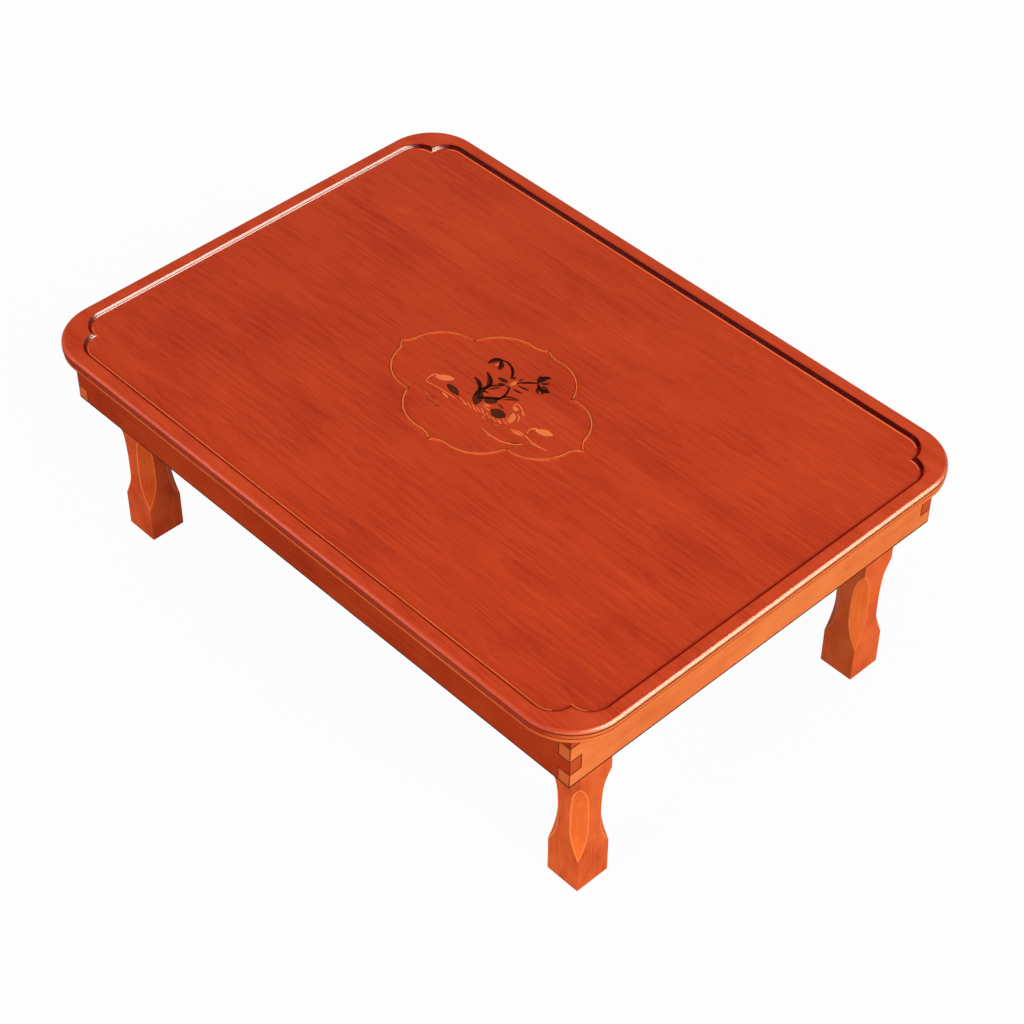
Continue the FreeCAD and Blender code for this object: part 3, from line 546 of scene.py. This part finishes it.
veneer("medallion_line", "medallion_line_bead", 0.00055, line_veneer, scorched_veneer,
       swell=0.0011, whole_flats=False)
veneer("inlay_light", "inlay_light_veneers", 0.00045, pale_veneer, scorched_veneer)
veneer("inlay_dark", "inlay_dark_veneers", 0.0006, dark_veneer, burnt_veneer)


# Stems. Strips of veneer bent into the field, which tie the picture's leaves, buds and blossom together:
# dark ones for the lotus, the grass and the buds, pale ones for the stalks, the reed and the feathers.
# Each is given by its start, middle and end and by its widths there, in millimetres on the field.
millimetre = 0.001
stem_steps = 10
stem_bed = field_level - 0.0003
stem_height = 0.00055
dark_stems = (
    ((-15.9, -12.9), (-17.5, 3.6), (-5.1, 22.1), (3.0, 2.6, 2.2)),
    ((-11.0, -13.7), (0.0, -3.5), (8.0, 4.1), (4.5, 3.6, 2.4)),
    ((6.7, 1.5), (12.1, 11.4), (23.9, 15.6), (2.4, 2.2, 0.7)),
    ((5.1, -2.6), (7.2, 8.6), (1.1, 23.3), (3.2, 2.4, 2.0)),
    ((1.7, 33.6), (8.8, 43.0), (18.4, 50.8), (2.0, 2.0, 2.2)),
    ((-7.8, 35.1), (-24.5, 49.1), (-38.2, 47.8), (2.6, 2.4, 1.8)),
    ((-18.2, -3.2), (-27.3, 5.3), (-38.7, 6.9), (3.0, 2.6, 0.7)),
    ((-16.3, -1.2), (-18.8, 14.3), (-35.1, 23.0), (3.2, 3.4, 0.7)),
    ((-13.1, -9.9), (-14.8, -2.7), (-8.3, -0.3), (3.6, 3.6, 0.9)),
    ((17.2, 51.1), (15.8, 60.5), (21.5, 66.3), (2.6, 10.5, 5.0)),
    ((19.5, 48.9), (29.0, 45.5), (37.0, 49.5), (2.6, 10.5, 4.5)),
    ((-37.6, 48.1), (-44.4, 44.0), (-45.0, 34.1), (3.6, 4.0, 0.9)),
    ((-37.3, 46.9), (-33.2, 42.0), (-30.4, 35.6), (3.2, 3.4, 0.9)),
)
pale_stems = (
    ((-70.1, -35.9), (-72.3, -24.2), (-67.6, -19.2), (1.2, 1.6, 2.0)),
    ((68.7, -15.5), (66.1, -7.4), (71.2, -2.0), (1.2, 1.6, 2.0)),
    ((69.2, -18.7), (84.9, -20.8), (102.5, -18.9), (1.6, 1.6, 1.2)),
    ((51.2, -24.7), (58.6, -19.8), (69.9, -19.4), (1.0, 1.8, 1.4)),
    ((28.7, -44.2), (58.2, -43.4), (77.6, -30.1), (0.9, 1.4, 1.6)),
    ((28.3, 2.6), (28.8, 10.6), (48.1, 1.4), (1.2, 1.8, 0.7)),
    ((-69.3, -36.3), (-46.3, -33.1), (-27.1, -32.3), (0.9, 1.2, 0.9)),
    ((-19.3, -27.7), (-14.0, -30.6), (-8.0, -31.6), (0.8, 1.6, 0.6)),
    ((-13.3, -26.7), (-7.7, -29.2), (-1.9, -30.4), (0.8, 1.6, 0.6)),
    ((-7.0, -25.3), (-1.5, -27.8), (4.0, -28.9), (0.8, 1.6, 0.6)),
    ((-1.1, -24.2), (4.6, -26.6), (10.0, -27.7), (0.8, 1.6, 0.6)),
    ((6.6, -23.5), (11.9, -26.2), (17.3, -27.3), (0.8, 1.6, 0.6)),
    ((13.9, -23.1), (19.2, -25.8), (24.6, -26.9), (0.8, 1.6, 0.6)),
    ((22.4, -23.5), (26.9, -25.5), (31.9, -25.9), (0.8, 1.6, 0.6)),
    ((28.9, -21.8), (33.5, -23.8), (38.6, -24.0), (0.8, 1.6, 0.6)),
    ((33.6, -17.9), (39.3, -20.1), (44.0, -19.9), (0.8, 1.7, 0.6)),
    ((34.8, -12.5), (39.4, -15.6), (44.6, -17.4), (0.8, 1.8, 0.8)),
    ((39.0, -0.9), (44.8, -4.2), (47.6, -10.2), (1.0, 2.4, 0.9)),
    ((2.2, -18.7), (8.6, -18.9), (14.8, -18.8), (0.8, 1.6, 0.7)),
)


def stem_course(start, middle, end, widths):
    """Points, directions and widths along an arc through three points."""
    start, middle, end = (Vector((x, y, 0)) * millimetre for x, y in (start, middle, end))
    bend = middle * 2 - (start + end) / 2
    for step in range(stem_steps + 1):
        t = step / stem_steps
        point = start * (1 - t) ** 2 + bend * 2 * t * (1 - t) + end * t ** 2
        heading = (bend - start) * (1 - t) + (end - bend) * t
        width = (widths[0] * (1 - t) * (1 - 2 * t) + widths[1] * 4 * t * (1 - t)
                 + widths[2] * t * (2 * t - 1))
        yield point, heading.normalized(), width * millimetre


def stems(name, courses, slot, wood):
    """Strips drawn out edge by edge from a first sliver, then given their thickness."""
    lay_aside()
    bpy.ops.mesh.primitive_plane_add(size=1)
    strip = bpy.context.object
    strip.name = strip.data.name = name
    give(strip, wood)
    edit(strip)
    bpy.ops.mesh.select_all(action="SELECT")
    bpy.ops.mesh.delete(type="VERT")
    for course in courses:
        points = list(stem_course(*course))
        point, heading, width = points[0]
        next_point = points[1][0]
        bpy.ops.mesh.select_all(action="DESELECT")
        bpy.ops.mesh.primitive_plane_add(size=1, location=(0, 0, 0))
        span = (next_point - point).length
        bpy.ops.transform.resize(value=(span, width, 1), center_override=(0, 0, 0))
        turn = math.atan2(heading.y, heading.x)
        bpy.ops.transform.rotate(value=-turn, orient_axis="Z", center_override=(0, 0, 0))
        middle = (point + next_point) / 2
        bpy.ops.transform.translate(value=(middle.x, middle.y, stem_bed))
        bpy.ops.mesh.select_mode(type="EDGE")
        bpy.ops.object.mode_set(mode="OBJECT")
        fresh = strip.data.polygons[-1]
        for part in (*strip.data.edges, *strip.data.polygons, *strip.data.vertices):
            part.select = False
        ahead = sorted(fresh.vertices, key=lambda index: strip.data.vertices[index].co.dot(heading))[2:]
        for edge in strip.data.edges:
            edge.select = set(edge.vertices) == set(ahead)
        bpy.ops.object.mode_set(mode="EDIT")
        for before, (point, heading, width) in zip(points[1:], points[2:]):
            bpy.ops.mesh.extrude_region_move(TRANSFORM_OT_translate={"value": point - before[0]})
            spin = math.remainder(math.atan2(heading.y, heading.x)
                                  - math.atan2(before[1].y, before[1].x), 2 * math.pi)
            there = (point.x, point.y, stem_bed)
            bpy.ops.transform.rotate(value=-spin, orient_axis="Z", center_override=there)
            grow = width / before[2]
            bpy.ops.transform.resize(value=(grow, grow, 1), center_override=there)
    bpy.ops.mesh.select_all(action="SELECT")
    bpy.ops.mesh.extrude_region_move(TRANSFORM_OT_translate={"value": (0, 0, stem_height)})
    finish(strip, "frame", slot)


stems("lotus_stems", dark_stems, "inlay_brown", burnt_veneer)
stems("reed_stems", pale_stems, "inlay_pale", pale_veneer)


# Legs. Square posts, round at the head, with a long stopped chamfer spoke-shaved on each edge. The
# chamfers show paler wood, partly painted light; their rubbed edges are pale, partly a painted highlight;
# and a dark band round the foot is painted shadow. The left end's legs are darker and redder, painted
# shade.
corners = ("front_left", "front_right", "back_left", "back_right")
leg_woods = {}
chamfer_woods = {}
# The left end's legs and chamfers get darker, redder copies of the wood, which is painted shade, and each
# chamfer's wood is paler than its post, partly painted light
for end, leg_tones, chamfer_tones in (
        ("left", (colour(224, 97, 42), colour(207, 77, 29), colour(177, 53, 17)),
         (colour(232, 104, 46), colour(216, 87, 34), colour(194, 67, 24))),
        ("right", (colour(236, 114, 54), colour(221, 94, 40), colour(192, 67, 24)),
         (colour(240, 118, 52), colour(229, 104, 41), colour(210, 84, 30)))):
    leg_woods[end] = lacquered_wood("leg_wood_" + end, "z", *leg_tones, shift=(0.1, 0.2, 0.3),
                                    fibre_share=0.14, band_share=0.14, cloud_share=0.75,
                                    cloud_scale=22.0, coat=0.08)
    chamfer_woods[end] = lacquered_wood("chamfer_wood_" + end, "z", *chamfer_tones, shift=(0.1, 0.2, 0.3),
                                        end_tone=1.0, fibre_share=0.18, band_share=0.16, cloud_share=0.6,
                                        cloud_scale=18.0, coat=0.08)
packed_full_top, packed_chamfer_top = 0.130, 0.184
chamfer_full_top, chamfer_top = 0.115, 0.165
chamfer_foot = 0.049
chamfer_slack = 0.002
arch_slope, arch_curve, arch_power = 0.53, 0.47, 7
worn_edge = 0.0009
same_ring = 0.00001
near_ring = 0.0002
post_slot, rubbed_highlight_slot, chamfer_slot, foot_shade_slot = range(4)


def pointed_end(packed_height):
    """Height at which a ring of the chamfer's upper end lies, so that it closes in a pointed arch."""
    down = (packed_chamfer_top - packed_height) / (packed_chamfer_top - packed_full_top)
    fallen = arch_slope * down + arch_curve * down ** arch_power
    return chamfer_top - (chamfer_top - chamfer_full_top) * fallen


for corner in corners:
    end = corner.split("_")[1]
    leg = copied_node("leg_" + corner, "leg_post_" + corner, leg_woods[end], rubbed_edge_and_highlight,
                      chamfer_woods[end], painted_shade_brown)
    bpy.ops.mesh.select_mode(type="VERT")
    bpy.ops.object.mode_set(mode="OBJECT")
    rings = sorted({round(vertex.co.z, 5) for vertex in leg.data.vertices
                    if packed_full_top - near_ring < vertex.co.z < packed_chamfer_top + near_ring})
    for ring in rings:
        bpy.ops.object.mode_set(mode="EDIT")
        bpy.ops.mesh.select_all(action="DESELECT")
        bpy.ops.object.mode_set(mode="OBJECT")
        for vertex in leg.data.vertices:
            vertex.select = abs(vertex.co.z - ring) < same_ring
        bpy.ops.object.mode_set(mode="EDIT")
        bpy.ops.transform.translate(value=(0, 0, pointed_end(ring) - ring))
    pick(leg, lambda centre, normal: abs(normal.x) > 0.4 and abs(normal.y) > 0.4)
    coat_picked(leg, chamfer_slot)
    # The eased edges take the pale colour of wear and painted highlight
    ease_edges(worn_edge, slot=rubbed_highlight_slot, sharpness=20)
    pick(leg, lambda centre, normal: abs(normal.x) > 0.2 and abs(normal.y) > 0.2
         and not chamfer_foot - chamfer_slack < centre.z < chamfer_top)
    coat_picked(leg, post_slot)
    # A dark band round the foot: painted shadow
    pick(leg, lambda centre, normal: centre.z < worn_edge + face_slack and normal.z > -0.95)
    coat_picked(leg, foot_shade_slot)
    finish(leg, "leg_" + corner, "lacquered_wood", "leg_" + corner)


# Corner blocks and centre batten. Plain stained softwood, the blocks glued into the corners of the frame
# and the batten screwed up under the top, where it keeps the thin field flat.
block_wood = lacquered_wood("block_wood", "z", colour(190, 86, 44), colour(172, 68, 34),
                            colour(140, 46, 22), roughness=0.5, coat=0.1)
batten_wood = lacquered_wood("batten_wood", "y", colour(190, 86, 44), colour(172, 68, 34),
                             colour(140, 46, 22), roughness=0.5, coat=0.1)
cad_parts["centre_batten"].data.materials[0] = batten_wood
for corner in corners:
    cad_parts["corner_block_" + corner].data.materials[0] = block_wood


# Hinges. Zinc-plated pressed steel brackets with riveted pins and washers, and a strip of bare spring
# steel in each, which rubs on the leg's round head and holds it open or folded.
def plated_steel(name, tint, roughness):
    """Zinc-plated steel with faint cloudy wear."""
    material = bpy.data.materials.new(name)
    material.use_nodes = True
    tree = material.node_tree
    tree.nodes.clear()
    here = shader_node(tree, "TexCoord").outputs["Object"]
    cloud = shader_node(tree, "TexNoise", {"Vector": here, "Scale": 90.0, "Detail": 5.0}).outputs["Fac"]
    scratch = streaks(tree, here, 120, 2500)
    dull = tuple(part * 0.72 for part in tint[:3]) + (1,)
    shaded = blended(tree, cloud, dull, tint)
    rough = ranged(tree, cloud, 0, 1, roughness + 0.1, roughness - 0.06)
    raised = shader_node(tree, "Bump", {"Height": scratch, "Strength": 0.08,
                                        "Distance": 0.0002}).outputs[0]
    steel = shader_node(tree, "BsdfPrincipled", {"Base Color": shaded, "Metallic": 1.0, "Roughness": rough,
                                                 "Normal": raised})
    shader_node(tree, "OutputMaterial", {"Surface": steel.outputs[0]})
    return material


zinc = plated_steel("zinc_plate", (0.56, 0.57, 0.56, 1), 0.36)
spring_steel = plated_steel("spring_steel", (0.36, 0.37, 0.4, 1), 0.3)
for corner in corners:
    for node in ("hinge_bracket_", "pivot_pin_", "hinge_washers_"):
        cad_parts[node + corner].data.materials[0] = zinc
    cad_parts["leg_spring_" + corner].data.materials[0] = spring_steel


# Screws. Zinc-plated pan-head wood screws with a cross recess, four through each bracket's plate and four
# through the batten, driven up into the top.
screw_radius = 0.00175
screw_head_radius = 0.0035
screw_head_height = 0.0018
recess_reach = 0.0021
recess_half_width = 0.0004
recess_deep = 0.0009
recess_border = 0.0002
head_round = 0.55
hinge_screw_reach = 0.010
batten_screw_reach = 0.026
pin_place_x, leg_place_y = 0.3516, 0.2177
screw_inward, screw_outward, screw_sideways = -0.0155, 0.0075, 0.0324
batten_screw_places = (-0.1935, -0.0645, 0.0645, 0.1935)


def on_head_face(centre, normal):
    """Whether a face belongs to the flat of the screw's head, which looks down."""
    return normal.z < -0.999


def pan_head_screw(name, shank):
    """One screw at the origin, its head hanging below the seat and its shank standing above it."""
    lay_aside()
    bpy.ops.mesh.primitive_cylinder_add(vertices=24, radius=screw_head_radius, depth=screw_head_height)
    screw = bpy.context.object
    screw.name = screw.data.name = name
    give(screw, zinc)
    edit(screw)
    bpy.ops.mesh.select_all(action="SELECT")
    bpy.ops.transform.translate(value=(0, 0, -screw_head_height / 2))
    pick(screw, lambda centre, normal: normal.z > 0.9)
    bpy.ops.mesh.inset(thickness=screw_head_radius - screw_radius, depth=0)
    bpy.ops.mesh.extrude_region_move(TRANSFORM_OT_translate={"value": (0, 0, shank)})
    pick(screw, lambda centre, normal: normal.z < -0.9)
    bpy.ops.mesh.bevel(offset=screw_head_height * head_round, segments=4, affect="EDGES")
    pick(screw, on_head_face)
    bpy.ops.mesh.inset(thickness=recess_border, depth=0)
    for axis in ((1, 0, 0), (0, 1, 0)):
        for side in (-1, 1):
            for distance in (recess_half_width, recess_reach):
                pick(screw, on_head_face)
                bpy.ops.mesh.bisect(plane_co=Vector(axis) * distance * side, plane_no=axis)
    pick(screw, lambda centre, normal: on_head_face(centre, normal)
         and max(abs(centre.x), abs(centre.y)) < recess_reach
         and min(abs(centre.x), abs(centre.y)) < recess_half_width)
    bpy.ops.mesh.extrude_region_move(TRANSFORM_OT_translate={"value": (0, 0, recess_deep)})
    bpy.ops.mesh.select_all(action="SELECT")
    bpy.ops.mesh.normals_make_consistent(inside=False)
    bpy.ops.object.mode_set(mode="OBJECT")
    return screw


def screw_group(name, pattern, places, node):
    """Copies of one screw, set at their places and handed over as one piece."""
    group = bpy.data.objects.new(name, pattern.data.copy())
    bpy.context.scene.collection.objects.link(group)
    edit(group)
    bpy.ops.mesh.select_all(action="SELECT")
    bpy.ops.transform.translate(value=places[0])
    for before, place in zip(places, places[1:]):
        bpy.ops.mesh.duplicate_move(TRANSFORM_OT_translate={"value": Vector(place) - Vector(before)})
    finish(group, "frame", "zinc_steel", node)


hinge_screw = pan_head_screw("hinge_screw_pattern", hinge_screw_reach)
batten_screw = pan_head_screw("batten_screw_pattern", batten_screw_reach)
for corner, side_x, side_y in (("front_left", -1, -1), ("front_right", 1, -1),
                               ("back_left", -1, 1), ("back_right", 1, 1)):
    node = "hinge_screws_" + corner
    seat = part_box(node)[0].z + screw_head_height
    places = [(side_x * (pin_place_x + along), side_y * leg_place_y + sideways, seat)
              for along in (screw_inward, screw_outward)
              for sideways in (-screw_sideways, screw_sideways)]
    screw_group(node + "_cross_head", hinge_screw, places, node)
batten_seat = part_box("batten_screws")[0].z + screw_head_height
screw_group("batten_screws_cross_head", batten_screw, [(0, y, batten_seat) for y in batten_screw_places],
            "batten_screws")
for pattern in (hinge_screw, batten_screw):
    bpy.data.objects.remove(pattern)


# Studio. A plain pale floor, a large soft lamp at the right end and a weaker one in front, and two bright
# sheets that only gloss shows, in a room that is pale at the sides and dim overhead.
lay_aside()
floor_size = 40
floor_drop = 0.0005
floor_share = 0.96
room_light = 0.42
side_level, overhead_level = 1.0, 0.2
bpy.ops.mesh.primitive_plane_add(size=floor_size, location=(0, 0, -floor_drop))
floor = bpy.context.object
floor.name = "studio_floor"


def seen_or_shining(tree):
    """One for rays from the camera, mirror rays and rays through glass."""
    path = shader_node(tree, "LightPath")
    seen = arithmetic(tree, "MAXIMUM", path.outputs["Is Camera Ray"], path.outputs["Is Glossy Ray"])
    return arithmetic(tree, "MAXIMUM", seen, path.outputs["Is Transmission Ray"])


floor_paint = bpy.data.materials.new("floor_paint")
floor_paint.use_nodes = True
tree = floor_paint.node_tree
tree.nodes.clear()
matt = shader_node(tree, "BsdfDiffuse", {"Color": (0.7, 0.7, 0.7, 1)})
glow = shader_node(tree, "Emission", {"Color": (1, 1, 1, 1), "Strength": 1.0})
lift = arithmetic(tree, "MULTIPLY", seen_or_shining(tree), floor_share)
lifted = shader_node(tree, "MixShader", {0: lift, 1: matt.outputs[0], 2: glow.outputs[0]})
shader_node(tree, "OutputMaterial", {"Surface": lifted.outputs[0]})
floor.data.materials.append(floor_paint)

room = bpy.data.worlds.new("room")
room.use_nodes = True
tree = room.node_tree
tree.nodes.clear()
sky = shader_node(tree, "TexCoord").outputs["Generated"]
height = shader_node(tree, "SeparateXYZ", {0: sky}).outputs["Z"]
shown_level = ranged(tree, height, 0.2, 0.6, side_level, overhead_level)
level = shader_node(tree, "Mix", {0: seen_or_shining(tree), 2: room_light, 3: shown_level}).outputs[0]
air = shader_node(tree, "Background", {"Color": (1, 1, 1, 1), "Strength": level})
shader_node(tree, "OutputWorld", {"Surface": air.outputs[0]})
bpy.context.scene.world = room


lamp_aim = Vector((0, 0, 0.25))


def soft_lamp(name, place, width, height, power, tint=(1, 1, 1), only_gloss=False):
    """Rectangular area lamp that points at the table."""
    lamp = bpy.data.lights.new(name, "AREA")
    lamp.shape = "RECTANGLE"
    lamp.size = width
    lamp.size_y = height
    lamp.energy = power
    lamp.color = tint
    holder = bpy.data.objects.new(name, lamp)
    bpy.context.scene.collection.objects.link(holder)
    holder.location = place
    holder.rotation_euler = (lamp_aim - Vector(place)).to_track_quat("-Z", "Y").to_euler()
    holder.visible_diffuse = not only_gloss


soft_lamp("right_lamp", (4.9, -0.5, 3.6), width=3.0, height=3.0, power=232)
soft_lamp("front_lamp", (-0.5, -4.9, 3.6), width=3.0, height=3.0, power=140)
soft_lamp("window_sheet", (2.1, 0.9, 1.75), width=2.6, height=2.8, power=1150,
          tint=(1.0, 0.84, 0.7), only_gloss=True)
soft_lamp("left_sheet", (-1.6, -1.9, 1.5), width=1.2, height=1.0, power=30, only_gloss=True)


# Camera. A long lens that looks down on the table from beyond its front right corner, tilted a hair to
# one side. Its turn, rise and distance were fitted to the straight edges and the feet.
camera_turn = 0.8056337
camera_rise = 0.7680691
camera_roll = 0.0066035
camera_distance = 3.057274
camera_lens = 88.73
camera_target = Vector((-0.079196, 0.105163, 0))
camera = bpy.data.objects.new("camera", bpy.data.cameras.new("camera"))
bpy.context.scene.collection.objects.link(camera)
camera.data.lens = camera_lens
camera.data.sensor_width = 36.0
back = Vector((math.sin(camera_turn) * math.cos(camera_rise),
               -math.cos(camera_turn) * math.cos(camera_rise), math.sin(camera_rise)))
level_right = Vector((math.cos(camera_turn), math.sin(camera_turn), 0))
level_up = back.cross(level_right)
right = level_right * math.cos(camera_roll) + level_up * math.sin(camera_roll)
up = level_up * math.cos(camera_roll) - level_right * math.sin(camera_roll)
facing = Matrix((right, up, back)).transposed().to_4x4()
camera.matrix_world = Matrix.Translation(camera_target + back * camera_distance) @ facing
bpy.context.scene.camera = camera
bpy.context.scene.view_settings.view_transform = "Standard"
